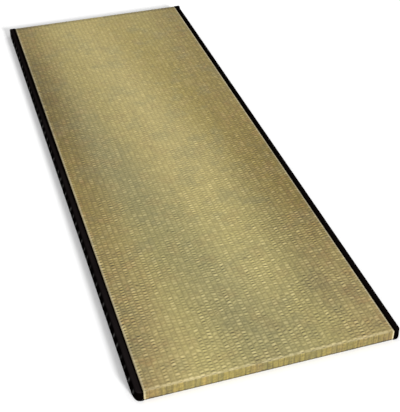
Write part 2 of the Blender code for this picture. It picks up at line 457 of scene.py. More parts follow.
def cover_shell(shell, sizes):
    """Points of the cover's top, ends and sides.

    The box's edges are rounded, the ribs and strokes are pushed out along the outward direction, and the
    rows wander along the mat by slow waves. Under the bindings the cover stands further in, and its sides
    swell with them.
    """
    core_low = COVER_CORE * (-1.0, -1.0, 0.0)
    points, outward = rounded_box(shell.sharp, core_low, COVER_CORE, COVER_ROUND, COVER_ROUND)
    at_foot = shell.steps[:, 2] == 0
    end_way = outward * (0.0, 1.0, 1.0)
    end_way[at_foot] *= (0.0, 1.0, 0.0)
    points += end_way * cover_rise(shell.sharp, sizes)[:, None]
    x, y, z = points.T
    calm = smooth_step((COVER_CORE[1] - np.abs(y)) / 0.06) * (outward[:, 2] > 0.99)
    y += calm * sizes.row_wave * soft_waves(x, y, 0.17, 0.3)
    stray = soft_waves(x, y, 0.052, 2.3) + 0.6 * soft_waves(x, y, 0.027, 4.1)
    y += calm * sizes.row_jitter * stray
    flat_edge = smooth_step((RIB_FIELD - np.abs(x)) / 0.05)
    z += calm * flat_edge * sizes.unevenness * soft_waves(x, y, 0.42, 1.9)
    y[at_foot] -= np.sign(y[at_foot]) * FOOT_EASE
    reach = np.abs(shell.sharp[:, 0])
    hidden = reach > RIB_FIELD + PIECE_GAP / 2
    level = z[hidden]
    z[hidden] = COVER_INSET + level * (1.0 - COVER_INSET / COVER_TOP) - PIECE_GAP * (level > COVER_CORE[2])
    x += np.where(reach > COVER_CORE[0] - 1e-6, np.sign(shell.sharp[:, 0]) * side_swell(y, z), 0.0)
    round_front_corners(points)
    return points


def cover_underside(points, shell, columns):
    """Points and faces of the underside: a coarse grid on the cover's columns, zipped to both sides."""

    def foot(i, j):
        return np.searchsorted(shell.used, (i * shell.counts[1] + j) * shell.counts[2])

    last_column, last_row = shell.counts[0] - 1, shell.counts[1] - 1
    every_row = np.arange(last_row + 1)
    front, back = (foot(np.arange(last_column + 1), row) for row in (0, last_row))
    share = np.linspace(0.0, 1.0, UNDERSIDE_STEPS + 1)[1:-1, None]
    low_y = points[front, 1] * (1.0 - share) + points[back, 1] * share
    reach = np.abs(columns)
    core = COVER_CORE[0]
    drawn = np.where(reach > core, core + 0.5 * (reach - core), reach)
    low_x = np.sign(columns) * (drawn + np.where(reach > core - 1e-6, side_swell(low_y, 0.0), 0.0))
    low_z = np.broadcast_to(np.where(reach > RIB_FIELD + PIECE_GAP / 2, COVER_INSET, 0.0), low_x.shape)
    inner = np.stack([low_x, low_y, low_z], axis=-1).reshape(-1, 3)
    inner_rows = len(points) + np.arange(len(inner)).reshape(low_x.shape)
    grid = np.concatenate([front[None, :], inner_rows, back[None, :]])
    middle = np.stack([grid[:-1, :-1], grid[1:, :-1], grid[1:, 1:], grid[:-1, 1:]], axis=-1).reshape(-1, 4)
    left_zip = zip_rows(foot(0, every_row), grid[:, 0])
    right_zip = zip_rows(foot(last_column, every_row), grid[:, -1])[:, ::-1]
    return inner, [middle, np.concatenate([left_zip, right_zip])]


def make_rush_cover(sizes, material):
    """The woven cover round the board, one closed surface: its shell and its underside."""
    stations = cover_stations(sizes)
    shell = lattice(stations, ((2, True), (1, False), (1, True), (0, False), (0, True)))
    points = cover_shell(shell, sizes)
    inner, low_faces = cover_underside(points, shell, stations[0])
    points = np.concatenate([points, inner])
    x, y, z = np.moveaxis(np.concatenate(shell.corners), -1, 0)
    unfolded = [flat(x, y + np.sign(y) * (COVER_TOP - z))]
    for block in low_faces:
        x, y, _ = np.moveaxis(points[block], -1, 0)
        unfolded.append(flat(x, -COVER_END - COVER_TOP - (COVER_END + y)))
    cover = new_piece("rush_cover", points, [shell.faces] + low_faces, unfolded, material)
    cover.data.set_sharp_from_angle(angle=math.radians(70))
    return cover


def stitch_places(sizes, side):
    """The middle of each stitch along the mat, each a little off its even place, and its strength."""
    chance = np.random.default_rng(11 if side > 0 else 23)
    pitch = stitch_pitch(sizes)
    even = -END_CORE + (np.arange(sizes.stitch_count) + 0.5) * pitch
    strength = chance.uniform(0.15, 1.0, sizes.stitch_count)
    return even + chance.uniform(-0.08, 0.08, sizes.stitch_count) * pitch, strength


def puckers(y, z, sizes, side):
    """How far the sewing moves the side's cloth along its outward direction, and its painted highlight.

    At each stitch the cloth is drawn in by a bell-shaped dimple. A short fold leans forward over it, high
    and with a painted highlight by bell curves of the places along and across it, and between two stitches
    the cloth fills out again as half a cosine wave.
    """
    centres, strength = stitch_places(sizes, side)
    pitch = stitch_pitch(sizes)
    nearest = np.clip(np.floor((y + END_CORE) / pitch), 0, sizes.stitch_count - 1).astype(np.int64)
    dy = y - centres[nearest]
    dz = z - sizes.stitch_level
    force = strength[nearest]
    dimple = -sizes.pucker * force * bell(dy, DIMPLE_LENGTH) * bell(dz, DIMPLE_HEIGHT)
    up_fold = dz * math.cos(PUCKER_FOLD_LEAN) - dy * math.sin(PUCKER_FOLD_LEAN) - PUCKER_FOLD_LIFT
    over_fold = dy * math.cos(PUCKER_FOLD_LEAN) + dz * math.sin(PUCKER_FOLD_LEAN)
    fold = force * bell(up_fold, PUCKER_FOLD_HEIGHT) * bell(over_fold, PUCKER_FOLD_WIDTH)
    between = 0.5 - 0.5 * np.cos(2 * math.pi * dy / pitch)
    belly = 0.45 * sizes.pucker * between * np.sin(math.pi * np.clip(z / SWELL_TOP, 0.0, 1.0))
    ends = smooth_step((HALF_LENGTH - np.abs(y)) / CORNER_DRAW)
    return (dimple + 0.8 * sizes.pucker * fold + belly) * ends, 1.1 * fold * ends


def binding_stations(sizes):
    """Places of a binding's lattice across, along and up, as sharp box coordinates on the right side."""
    cores = SIDE_CORE, END_CORE, SWELL_TOP
    side, end, top = (arc_stations(core, TOP_ROUND, ARC_ANGLES) for core in cores)
    across = [BAND_EDGE + step for step in BAND_STEPS] + [SIDE_CORE] + side
    pitch = stitch_pitch(sizes)
    rows = [(row + 0.5 + share) * pitch for row in range(sizes.stitch_count) for share in STITCH_SHARES]
    rows = sorted([place - END_CORE for place in rows] + [inset - HALF_LENGTH for inset in CORNER_ROWS])
    along = [-place for place in reversed(end)] + rows + [END_CORE] + end
    low = [FOOT_ROUND - FOOT_ROUND * math.tan(math.radians(angle)) for angle in reversed(ARC_ANGLES)]
    up = low + [FOOT_ROUND] + list(SIDE_LEVELS) + [SWELL_TOP] + top
    return np.array(across), np.array(along), np.array(up)


def binding_shell(sheets, sizes, side):
    """Points of a binding's outside, on the right side, and how strongly each gets the painted highlight.

    The box is rounded, puckered and waved along its outward direction, and swollen like the solid. The edge
    beside the rush dips a little, and both ends have a slanting fold.
    """
    core_low = np.array([0.0, -END_CORE, FOOT_ROUND])
    core_high = np.array([SIDE_CORE, END_CORE, SWELL_TOP])
    radius_low = np.array([TOP_ROUND, TOP_ROUND, FOOT_ROUND])
    points, outward = rounded_box(sheets.sharp, core_low, core_high, radius_low, TOP_ROUND)
    x, y, z = points.T.copy()
    wave = CLOTH_WAVE * soft_waves(x * 2.0, y, 0.11, 0.4 + side)
    outer = outward[:, 0] * outward[:, 0]
    sewn, highlit = puckers(y, z, sizes, side)
    points += outward * (outer * (sewn + wave))[:, None]
    beyond_edge = smooth_step((x - BAND_EDGE) / 0.006)
    crown = beyond_edge * smooth_step((HALF_LENGTH - np.abs(y)) / 0.02)
    dip = (1.0 - smooth_step((x - BAND_EDGE) / 0.0030)) * EDGE_DIP
    points[:, 2] += np.where(outward[:, 2] > 0.5, wave * crown - dip, 0.0)
    slant = (x - BAND_EDGE) / (HALF_WIDTH - BAND_EDGE) - z / THICKNESS
    fold = END_FOLD * bell(slant, 0.10) * beyond_edge
    points[:, 1] -= np.where(np.abs(outward[:, 1]) > 0.9, np.sign(y) * fold, 0.0)
    swollen = sheets.sharp[:, 0] > SIDE_CORE - 1e-6
    points[swollen, 0] += side_swell(points[:, 1], points[:, 2])[swollen]
    round_front_corners(points)
    return points, highlit * outer


def unfold_binding(corners):
    """Unfolded places on a binding's sheets: the top lies where it is, and the others fold out round it."""
    bottom, top, front, back, outer = (np.moveaxis(corner, -1, 0) for corner in corners)
    return [
        flat(2 * HALF_WIDTH + THICKNESS - bottom[0], bottom[1]),
        flat(top[0], top[1]),
        flat(front[0], front[1] - THICKNESS + front[2]),
        flat(back[0], back[1] + THICKNESS - back[2]),
        flat(HALF_WIDTH + THICKNESS - outer[2], outer[1]),
    ]


def make_binding_cloth(name, side, sizes, material):
    """A cloth strip folded over one long side and the corner of both ends, open towards the board.

    The sheets are a box lattice without its inner side, and Solidify makes the cloth's thickness inwards.
    The left strip is the right one with x turned round.
    """
    sheets = lattice(binding_stations(sizes), ((2, False), (2, True), (1, False), (1, True), (0, True)))
    points, highlit = binding_shell(sheets, sizes, side)
    faces = sheets.faces
    unfolded = unfold_binding(sheets.corners)
    if side < 0:
        points[:, 0] *= -1.0
        faces = faces[:, ::-1]
        unfolded = [block[:, ::-1] for block in unfolded]
    cloth = new_piece(name, points, [faces], unfolded, material)
    # Where the painted highlight of the puckers' folds lies
    highlit_layer = cloth.data.attributes.new("highlit", "FLOAT", "POINT")
    highlit_layer.data.foreach_set("value", highlit.astype(np.float32))
    wall = cloth.modifiers.new("cloth", "SOLIDIFY")
    wall.thickness = BINDING_CLOTH
    wall.offset = -1.0
    wall.use_even_offset = True
    wall.use_quality_normals = True
    rim = cloth.modifiers.new("rim", "BEVEL")
    rim.width = 0.00042
    rim.segments = 2
    rim.limit_method = "ANGLE"
    rim.angle_limit = math.radians(60)
    return cloth


def make_stitches(name, side, sizes, material):
    """Short threads that lie in the puckers of one long side, joined into one mesh.

    Each is a tube round a flat arch: along the thread its middle line follows a sine up out of the cloth,
    and its radius is the root of 1 - t^8, which closes both ends in the cloth.
    """
    centres, strength = stitch_places(sizes, side)
    t = np.linspace(-1.0, 1.0, THREAD_STEPS)[1:-1]
    around = np.arange(THREAD_SIDES)
    turn = around * 2 * math.pi / THREAD_SIDES
    radius = (0.5 * sizes.thread * np.sqrt(1.0 - t ** 8))[:, None]
    slant = np.sin(centres * 41.0) * 0.0006
    middle = HALF_WIDTH + side_swell(centres, sizes.stitch_level) - sizes.pucker * strength
    arch = 0.0002 + 0.0007 * np.cos(0.5 * math.pi * t[:, None])

    def along_thread(share):
        return centres[:, None, None] + 0.5 * sizes.stitch_length * share

    def up_thread(share):
        return sizes.stitch_level + slant[:, None, None] * share

    way = t[:, None]
    tube = np.stack(np.broadcast_arrays(
        middle[:, None, None] + arch + radius * np.cos(turn), along_thread(way),
        up_thread(way) + radius * np.sin(turn)), axis=-1)
    ends = np.array([[-1.0], [1.0]])
    tips = np.stack(np.broadcast_arrays(
        middle[:, None, None], along_thread(ends), up_thread(ends)), axis=-1)
    per_stitch = [part.reshape(len(centres), -1, 3) for part in (tube, tips)]
    points = np.concatenate(per_stitch, axis=1).reshape(-1, 3)
    rings = len(t)
    ring, spoke = np.meshgrid(np.arange(rings - 1), around, indexing="ij")
    here = ring * THREAD_SIDES
    after = (spoke + 1) % THREAD_SIDES
    there = here + THREAD_SIDES
    quad = np.stack([here + spoke, there + spoke, there + after, here + after], axis=-1)
    beside = (around + 1) % THREAD_SIDES
    last = (rings - 1) * THREAD_SIDES
    tip = np.full(THREAD_SIDES, rings * THREAD_SIDES)
    caps = np.concatenate([np.stack([tip, around, beside], axis=-1),
                           np.stack([tip + 1, last + beside, last + around], axis=-1)])
    start = (np.arange(len(centres)) * (rings * THREAD_SIDES + 2))[:, None, None]
    blocks = [(quad.reshape(-1, 4) + start).reshape(-1, 4), (caps + start).reshape(-1, 3)]
    if side < 0:
        points[:, 0] *= -1.0
        blocks = [block[:, ::-1] for block in blocks]
    return new_piece(name, points, blocks, [points[block][..., 1:] for block in blocks], material)


def add_node(tree, kind, **settings):
    """A new node with the given settings."""
    node = tree.nodes.new(kind)
    for name, value in settings.items():
        setattr(node, name, value)
    return node


def feed(tree, socket, value):
    """Links an input to an output, or sets it to a plain value."""
    if isinstance(value, bpy.types.NodeSocket):
        tree.links.new(value, socket)
    else:
        socket.default_value = value


def calc(tree, operation, *values):
    """The output of a Math node on the given values."""
    node = add_node(tree, "ShaderNodeMath", operation=operation)
    for socket, value in zip(node.inputs, values):
        feed(tree, socket, value)
    return node.outputs[0]


def times(tree, value, *factors):
    """The product of several values."""
    for factor in factors:
        value = calc(tree, "MULTIPLY", value, factor)
    return value


def less(tree, value, amount):
    """A value less an amount."""
    return calc(tree, "SUBTRACT", value, amount)


def size_of(tree, value):
    """A value without its sign."""
    return calc(tree, "ABSOLUTE", value)


def toned(tree, shade, terms):
    """Adds to a shade how far each value is from its middle, times its weight."""
    for value, middle, weight in terms:
        apart_from_middle = less(tree, value, middle) if middle else value
        shade = calc(tree, "MULTIPLY_ADD", apart_from_middle, weight, shade)
    return shade


def ramp(tree, value, low, high, to_low=0.0, to_high=1.0):
    """A smooth step from one value to another as the input goes from low to high."""
    node = add_node(tree, "ShaderNodeMapRange", interpolation_type="SMOOTHSTEP")
    names = ("Value", "From Min", "From Max", "To Min", "To Max")
    for name, entry in zip(names, (value, low, high, to_low, to_high)):
        feed(tree, node.inputs[name], entry)
    return node.outputs[0]


def mixed(tree, share, first, second):
    """A colour between two others."""
    node = add_node(tree, "ShaderNodeMix", data_type="RGBA")
    feed(tree, node.inputs[0], share)
    feed(tree, node.inputs[6], first)
    feed(tree, node.inputs[7], second)
    return node.outputs[2]


def layered(tree, colour, layers):
    """Lays colours over another, each where its mask says and by its weight."""
    for mask, weight, layer in layers:
        colour = mixed(tree, times(tree, mask, weight), colour, rgba(layer))
    return colour


def scaled(tree, colour, factor):
    """A colour made lighter or darker by a factor."""
    node = add_node(tree, "ShaderNodeVectorMath", operation="SCALE")
    feed(tree, node.inputs[0], colour)
    feed(tree, node.inputs["Scale"], factor)
    return node.outputs[0]


def together(tree, x, y, z):
    """Three numbers as one vector."""
    node = add_node(tree, "ShaderNodeCombineXYZ")
    for socket, value in zip(node.inputs, (x, y, z)):
        feed(tree, socket, value)
    return node.outputs[0]


def apart(tree, vector):
    """The three numbers of a vector."""
    node = add_node(tree, "ShaderNodeSeparateXYZ")
    feed(tree, node.inputs[0], vector)
    return node.outputs


def rgba(colour):
    """A colour property with full alpha."""
    return (colour[0], colour[1], colour[2], 1.0)


def new_group(name, inputs, outputs):
    """An empty shader group whose sockets are numbers, but for Place, which is a vector.

    Gives the group, the values that come in and the sockets that go out.
    """
    group = bpy.data.node_groups.new(name, "ShaderNodeTree")
    for label in inputs:
        kind = "NodeSocketVector" if label == "Place" else "NodeSocketFloat"
        group.interface.new_socket(label, in_out="INPUT", socket_type=kind)
    for label in outputs:
        group.interface.new_socket(label, in_out="OUTPUT", socket_type="NodeSocketFloat")
    return group, group.nodes.new("NodeGroupInput").outputs, group.nodes.new("NodeGroupOutput").inputs


def use_group(tree, name, **values):
    """Places a shared shader group, made at its first use, and gives its outputs. _ stands for a space."""
    group = bpy.data.node_groups.get(name) or GROUP_MAKERS[name]()
    node = add_node(tree, "ShaderNodeGroup", node_tree=group)
    for label, value in values.items():
        feed(tree, node.inputs[label.replace("_", " ")], value)
    return node.outputs


def weave_group():
    """Short pieces one after another along each column: a plain weave where the shift is half a piece.

    The pieces run askew by the slant, and the shift is how much later every second column is. It gives the
    column, the piece, the arch 1 - |2 s - 1|^3 of the share s across, the hump 1 - (2 t - 1)^2 of the share
    t along, and the crown, which is arch times hump.
    """
    group, entry, result = new_group("plain_weave", ("Across", "Along", "Slant", "Shift"),
                                     ("Column", "Piece", "Crown", "Arch", "Hump"))
    column = calc(group, "FLOOR", entry["Across"])
    share = less(group, entry["Across"], column)
    odd = calc(group, "FLOORED_MODULO", column, 2.0)
    askew = calc(group, "MULTIPLY_ADD", less(group, 0.5, share), entry["Slant"], entry["Along"])
    later = calc(group, "MULTIPLY_ADD", odd, entry["Shift"], askew)
    piece = calc(group, "FLOOR", later)
    lean = size_of(group, calc(group, "MULTIPLY_ADD", share, 2.0, -1.0))
    arch = less(group, 1.0, calc(group, "POWER", lean, 3.0))
    off = calc(group, "MULTIPLY_ADD", less(group, later, piece), 2.0, -1.0)
    hump = less(group, 1.0, times(group, off, off))
    values = (column, piece, times(group, arch, hump), arch, hump)
    for label, value in zip(("Column", "Piece", "Crown", "Arch", "Hump"), values):
        feed(group, result[label], value)
    return group


def chance_group():
    """A number between 0 and 1 that stays the same over one piece of a weave."""
    group, entry, result = new_group("piece_tint", ("Column", "Piece", "Seed"), ("Value",))
    noise = add_node(group, "ShaderNodeTexWhiteNoise", noise_dimensions="3D")
    place = together(group, entry["Column"], entry["Piece"], entry["Seed"])
    feed(group, noise.inputs["Vector"], place)
    feed(group, result["Value"], noise.outputs["Value"])
    return group


def patch_group():
    """Soft patches: noise at a given scale, stepped smoothly from 0 below Low to 1 above High."""
    group, entry, result = new_group("soft_patches", ("Place", "Scale", "Low", "High"), ("Mask",))
    noise = add_node(group, "ShaderNodeTexNoise", noise_dimensions="3D")
    noise.inputs["Detail"].default_value = 3.0
    feed(group, noise.inputs["Vector"], entry["Place"])
    feed(group, noise.inputs["Scale"], entry["Scale"])
    feed(group, result["Mask"], ramp(group, noise.outputs[0], entry["Low"], entry["High"]))
    return group


def band_group():
    """A soft band across the mat: 1 on the line x = offset + slope y, and 0 from half its width on."""
    inputs = "X", "Y", "Offset", "Slope", "Half Width"
    group, entry, result = new_group("slanting_band", inputs, ("Mask",))
    line = calc(group, "MULTIPLY_ADD", entry["Y"], entry["Slope"], entry["Offset"])
    away = size_of(group, less(group, entry["X"], line))
    share = calc(group, "DIVIDE", away, entry["Half Width"])
    feed(group, result["Mask"], ramp(group, share, 0.0, 1.0, 1.0, 0.0))
    return group


GROUP_MAKERS = {
    "plain_weave": weave_group,
    "piece_tint": chance_group,
    "soft_patches": patch_group,
    "slanting_band": band_group,
}


def chance(tree, column, piece, seed):
    """The tint of one piece of a weave."""
    return use_group(tree, "piece_tint", Column=column, Piece=piece, Seed=seed)["Value"]


def patches(tree, place, scale, low, high):
    """A mask of soft patches."""
    return use_group(tree, "soft_patches", Place=place, Scale=scale, Low=low, High=high)["Mask"]


def band(tree, x, y, offset, slope, half_width):
    """A mask of one soft band."""
    values = {"X": x, "Y": y, "Offset": offset, "Slope": slope, "Half_Width": half_width}
    return use_group(tree, "slanting_band", **values)["Mask"]


def new_material(name, specular):
    """A material with a Principled BSDF: returns the material, its tree and its shader."""
    material = bpy.data.materials.new(name)
    material.use_nodes = True
    shader = material.node_tree.nodes["Principled BSDF"]
    shader.inputs["Specular IOR Level"].default_value = specular
    return material, material.node_tree, shader


def relief(tree, shader, height, distance, strength):
    """Feeds the shader's normal from a height map."""
    node = add_node(tree, "ShaderNodeBump")
    node.inputs["Distance"].default_value = distance
    node.inputs["Strength"].default_value = strength
    feed(tree, node.inputs["Height"], height)
    tree.links.new(node.outputs["Normal"], shader.inputs["Normal"])


def rush_weave(tree, sizes):
    """Where a point lies in the weave, the forms and tints of its stem and stroke, and two small patterns.

    The same stem comes up on every second rib, so its tint follows the row and changes slowly across. The
    weaker strokes of every second rib fall in and out of step with the strong ones.
    """
    place = add_node(tree, "ShaderNodeTexCoord").outputs["Object"]
    side, length, _ = apart(tree, add_node(tree, "ShaderNodeUVMap", uv_map="unfolded").outputs["UV"])
    pitch = rib_pitch(sizes)
    across = calc(tree, "MULTIPLY_ADD", side, 1 / pitch, RIB_FIELD / pitch)
    along = calc(tree, "DIVIDE", length, stroke_pitch(sizes))
    stems = use_group(tree, "plain_weave", Across=across, Along=times(tree, along, float(sizes.stems)),
                      Slant=sizes.stroke_slant * sizes.stems, Shift=0.5)
    span = calc(tree, "FLOOR", calc(tree, "DIVIDE", across, 9.0))
    parity = calc(tree, "FLOORED_MODULO", stems["Column"], 2.0)
    row = calc(tree, "MULTIPLY_ADD", parity, 0.5, stems["Piece"])
    contrast = patches(tree, place, 11.0, 0.42, 0.60)
    drift = calc(tree, "MULTIPLY_ADD", times(tree, parity, contrast), 0.8, along)
    strokes = use_group(tree, "plain_weave", Across=across, Along=drift, Slant=sizes.stroke_slant)
    cluster_place = together(tree, times(tree, across, 0.7), times(tree, along, 0.45), 0.0)
    crumb_place = together(tree, times(tree, across, 1.5), times(tree, along, 1.1), 7.0)
    return SimpleNamespace(
        place=place, side=side, length=length, across=across, parity=parity, contrast=contrast,
        stems=stems, strokes=strokes, cluster_place=cluster_place,
        stem_tint=chance(tree, span, row, 1.0),
        stroke_tint=chance(tree, strokes["Column"], strokes["Piece"], 2.0),
        rib_tint=chance(tree, strokes["Column"], 0.0, 3.0),
        rib_hue=chance(tree, strokes["Column"], 0.0, 4.0),
        cluster=patches(tree, cluster_place, 1.0, 0.36, 0.64),
        crumb=patches(tree, crumb_place, 1.0, 0.34, 0.66),
    )


def rush_bands(tree, x, y):
    """Wide masks over the mat: slanting bands, the front and its middle, and the margins.

    The green, brown, bright and dusk bands cross the mat at a slant and fade towards an end. The bright
    band is a painted sheen, and the green band is partly green rush and partly painted shade. Light front
    and light side are lighter stretches at the front and beside the left binding.
    """
    from_dusk = size_of(tree, calc(tree, "ADD", y, 0.52))
    return SimpleNamespace(
        # Partly green rush and partly painted shade: a darker green band
        green=times(tree, band(tree, x, y, -0.205, -0.225, 0.17), ramp(tree, y, 0.95, 0.55)),
        brown=times(tree, band(tree, x, y, 0.26, -0.26, 0.20), ramp(tree, y, -0.62, -0.25)),
        # Painted sheen: a lighter, paler band along the middle of the mat
        bright=times(tree, band(tree, x, y, 0.025, -0.06, 0.20), ramp(tree, y, -0.95, -0.60)),
        dusk=times(tree, band(tree, x, y, 0.17, -0.04, 0.09), ramp(tree, from_dusk, 0.25, 0.40, 1.0, 0.0)),
        light_front=times(tree, band(tree, x, y, -0.19, 0.0, 0.16), ramp(tree, y, -0.50, -1.0)),
        light_side=times(tree, band(tree, y, x, -0.08, 0.0, 0.50), ramp(tree, x, -0.265, -0.32)),
        front=ramp(tree, y, -0.25, -0.95),
        fresh=times(tree, ramp(tree, y, -0.05, -0.55), ramp(tree, size_of(tree, x), 0.30, 0.16)),
        left=times(tree, ramp(tree, x, -0.185, -0.335), ramp(tree, y, -0.75, 0.20, 0.35, 1.10),
                   ramp(tree, y, 0.55, 0.85, 1.0, 0.65)),
        right=times(tree, ramp(tree, x, 0.13, 0.35), ramp(tree, y, -0.85, -0.35, 0.45, 1.35),
                    ramp(tree, y, -0.20, 0.10, 1.0, 0.65)),
    )


def rush_edges(tree, weave, x, y):
    """Masks of the cover's edges: down an end, close beside a binding, and a painted highlight along an
    end's fold.
    """
    reach = size_of(tree, weave.length)
    from_cloth = less(tree, RIB_FIELD, size_of(tree, weave.side))
    from_cloth = times(tree, from_cloth, ramp(tree, x, -0.1, 0.1, 0.66, 1.0))
    shining = patches(tree, weave.cluster_place, 0.8, 0.30, 0.60)
    return SimpleNamespace(
        over_end=ramp(tree, reach, COVER_END - 0.0032, COVER_END + 0.0004),
        beside=times(tree, ramp(tree, from_cloth, 0.0046, 0.0026), ramp(tree, x, -0.1, 0.1, 0.68, 1.0)),
        # Painted highlight along the fold, strongest over the front end and broken in patches
        fold=times(tree, ramp(tree, reach, COVER_END - 0.0100, COVER_END - 0.0050),
                   ramp(tree, reach, COVER_END - 0.0014, COVER_END + 0.0008, 1.0, 0.0),
                   ramp(tree, shining, 0.0, 1.0, 0.12, 0.62), ramp(tree, y, 0.5, -0.5, 0.1, 1.0)),
    )


def rush_contrast(tree, sizes, weave, edges, y):
    """How far the strokes' crowns and gaps differ in tone: painted light on the crowns and painted shade in
    the gaps. The glint on the crowns of single strokes is a painted highlight.

    They differ more towards the front, in patches and on the strong ribs, and less over an end or beside a
    binding. A weak rib's share of tone is 2.2 times its share of height.
    """
    busy = ramp(tree, y, 0.3, -0.8, 0.72, 1.15)
    strong = ramp(tree, weave.parity, 0.0, 1.0, 1.0, 2.2 * sizes.weak_share)
    arch = weave.strokes["Arch"]
    stroke_shade_depth = calc(tree, "MULTIPLY_ADD", calc(tree, "ADD", weave.contrast, weave.cluster), 0.36, 0.06)
    stroke_shade_depth = times(tree, stroke_shade_depth, strong, times(tree, busy, 2.15), times(tree, arch, arch),
                  ramp(tree, edges.over_end, 0.0, 1.0, 1.0, 0.25),
                  ramp(tree, edges.beside, 0.0, 1.0, 1.0, 0.15))
    glint = times(tree, ramp(tree, weave.stroke_tint, 0.45, 1.0), weave.strokes["Crown"],
                  less(tree, 1.0, edges.over_end), busy, ramp(tree, strong, 0.0, 1.0, 0.2, 1.3))
    return stroke_shade_depth, glint


def rush_colour(tree, colours, weave, bands, edges, glint, x, y):
    """The rush's colour before the shade factor: straw under bands, patches and tints, then ends and edges.

    Down the ends the rush is darker, which is painted shade, and yellower, in a hue of its own under each
    rib.
    Reddish spots lie in the margins, and the rush is pale beside the bindings and pale as a painted
    highlight along the folds and on glinting strokes. The bright band adds a painted sheen, the green band
    partly painted shade.
    """
    greenish = patches(tree, weave.place, 17.0, 0.50, 0.66)
    brownish = patches(tree, together(tree, y, x, 3.0), 15.0, 0.50, 0.66)
    colour = layered(tree, rgba(colours.straw), (
        # Green band: partly green rush, partly painted shade
        (bands.green, 0.80, colours.green),
        (bands.brown, 0.55, colours.brown),
        (bands.left, 0.90, colours.brown),
        (bands.right, 0.72, colours.brown),
        # Painted sheen of the bright band
        (bands.bright, 0.12, colours.pale),
        (bands.front, 0.16, colours.pale),
        (bands.fresh, 0.40, colours.fresh),
        (greenish, 0.40, colours.green),
        (brownish, 0.30, colours.ochre),
        (weave.stem_tint, 0.18, colours.green),
        (weave.stroke_tint, 0.12, colours.brown),
    ))
    end_layers = (weave.rib_hue, 0.40, colours.brown), (brownish, 0.18, colours.spot)
    # Down the ends: a darker colour as painted shade, in a yellower hue
    colour = mixed(tree, edges.over_end, colour, layered(tree, rgba(colours.edge), end_layers))
    blotch = patches(tree, weave.place, 26.0, 0.49, 0.66)
    blotch = times(tree, blotch, ramp(tree, weave.stem_tint, 0.30, 0.75, 0.25, 1.0))
    margin = ramp(tree, size_of(tree, x), 0.15, 0.31)
    return layered(tree, colour, (
        (margin, calc(tree, "MULTIPLY_ADD", blotch, 0.36, 0.09), colours.spot),
        (edges.beside, 1.0, colours.pale),
        # Painted highlight along the folds
        (edges.fold, 0.65, colours.pale),
        # Painted highlight on glinting strokes
        (glint, 0.12, colours.pale),
    ))


def rush_shade(tree, weave, bands, edges, stroke_shade_depth, glint, y, z):
    """Light and dark over the rush, with 1 as the plain tone.

    It sums the crowns against the gaps and the rib valleys, as painted light and shade, the tints, the
    small patterns, the bands, the pale fold with its painted highlight and the dark line along the back
    edge, which is painted shade. Down an end come stripes, a darker tone and darker valleys as painted
    shade, and a dark foot which is a painted contact shadow.
    """
    strokes = weave.strokes
    # Painted shade in the valleys between the ribs, coming and going in patches
    valley_shade = times(tree, less(tree, strokes["Arch"], 0.75), weave.crumb)
    shade = toned(tree, 1.0, (
        # Painted light on the strokes' crowns and painted shade in their gaps
        (strokes["Hump"], 0.667, stroke_shade_depth),
        (valley_shade, 0.0, 0.14),
        (weave.stems["Crown"], 0.5, 0.14),
        (weave.stem_tint, 0.5, 0.18),
        (weave.stroke_tint, 0.5, 0.10),
        # Painted highlight: the glint on single strokes
        (glint, 0.0, 0.16),
        (weave.crumb, 0.5, 0.21),
        (weave.rib_tint, 0.5, 0.06),
        (weave.cluster, 0.5, 0.06),
        # Painted sheen of the bright band
        (bands.bright, 0.0, 0.16),
        (bands.dusk, 0.0, -0.12),
        (bands.light_front, 0.0, 0.18),
        (bands.front, 0.0, -0.07),
        (ramp(tree, y, -0.80, -0.96), 0.0, 0.07),
        (bands.left, 0.0, -0.40),
        (bands.right, 0.0, -0.20),
        (bands.light_side, 0.0, 0.17),
        # Painted highlight along the fold
        (edges.fold, 0.0, 0.37),
        # Painted shade: two dark lines along the back edge
        (ramp(tree, y, COVER_END - 0.0240, COVER_END - 0.0120), 0.0, -0.28),
        (ramp(tree, y, COVER_END - 0.0060, COVER_END - 0.0024), 0.0, -0.30),
    ))
    stripe_place = together(tree, times(tree, weave.across, 4.2), times(tree, weave.length, 20.0), 0.0)
    stripe = patches(tree, stripe_place, 1.0, 0.35, 0.65)
    # Down an end: a darker tone overall and darker valleys between the ribs, both painted shade, and tonal
    # stripes
    end_shade = toned(tree, -0.32, ((strokes["Arch"], 0.0, 0.16), (stripe, 0.0, 0.34)))
    # Painted contact shadow: the ends darken over their lowest seven millimetres, towards the floor
    foot = ramp(tree, z, 0.0010, 0.0068, -0.62, 0.0)
    return toned(tree, shade, ((edges.over_end, 0.0, calc(tree, "ADD", end_shade, foot)),))


def rush_material(sizes, colours):
    """Dried rush: stems over ribs, in straw, green and brown, pale at the folds and beside the bindings."""
    material, tree, shader = new_material("woven_rush", 0.45)
    weave = rush_weave(tree, sizes)
    x, y, z = apart(tree, weave.place)
    bands = rush_bands(tree, x, y)
    edges = rush_edges(tree, weave, x, y)
    stroke_shade_depth, glint = rush_contrast(tree, sizes, weave, edges, y)
    colour = rush_colour(tree, colours, weave, bands, edges, glint, x, y)
    shade = rush_shade(tree, weave, bands, edges, stroke_shade_depth, glint, y, z)
    feed(tree, shader.inputs["Base Color"], scaled(tree, colour, calc(tree, "MAXIMUM", shade, 0.1)))
    gloss = toned(tree, 0.60, ((weave.strokes["Crown"], 0.0, -0.12), (weave.stem_tint, 0.0, 0.10)))
    feed(tree, shader.inputs["Roughness"], gloss)
    fibre = add_node(tree, "ShaderNodeTexNoise", noise_dimensions="2D")
    fibre.inputs["Scale"].default_value = 1.0
    fibre_place = together(tree, times(tree, weave.side, 60.0), times(tree, weave.length, 900.0), 0.0)
    feed(tree, fibre.inputs["Vector"], fibre_place)
    forms = ((fibre.outputs[0], 0.0, 0.25), (weave.strokes["Crown"], 0.0, 0.8))
    relief(tree, shader, toned(tree, weave.stems["Crown"], forms), 0.0004, 0.6)
    return material


